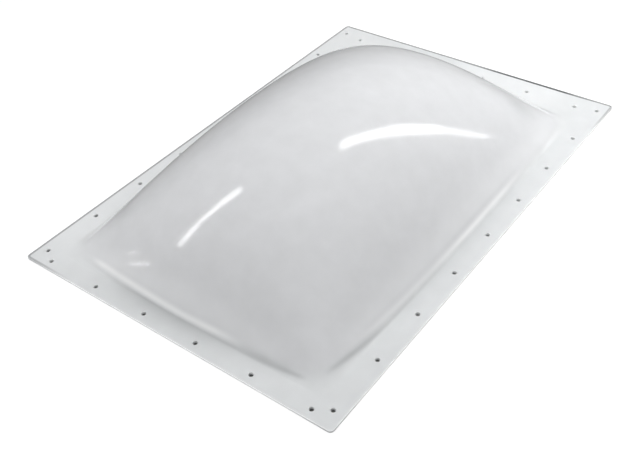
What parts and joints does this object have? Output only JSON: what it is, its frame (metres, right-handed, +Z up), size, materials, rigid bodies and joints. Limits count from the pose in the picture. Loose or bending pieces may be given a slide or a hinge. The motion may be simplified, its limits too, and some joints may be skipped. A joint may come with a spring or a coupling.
{
  "type": "roof skylight",
  "caption": "Rectangular roof skylight: a translucent white plastic sheet blown into a smooth dome, with a flat drilled mounting flange all round.",
  "frame": {"origin": "middle of the flange's underside, which lies on the curb", "axes": "+X across the skylight, +Y along it from the front end to the back end with the wider border, +Z up out of the roof"},
  "size_m": [0.445, 0.654, 0.138],
  "materials": {
    "white_sheet": "glossy translucent white sheet"
  },
  "bodies": {
    "root": {"skylight_dome": "white_sheet"}
  },
  "joints": []
}
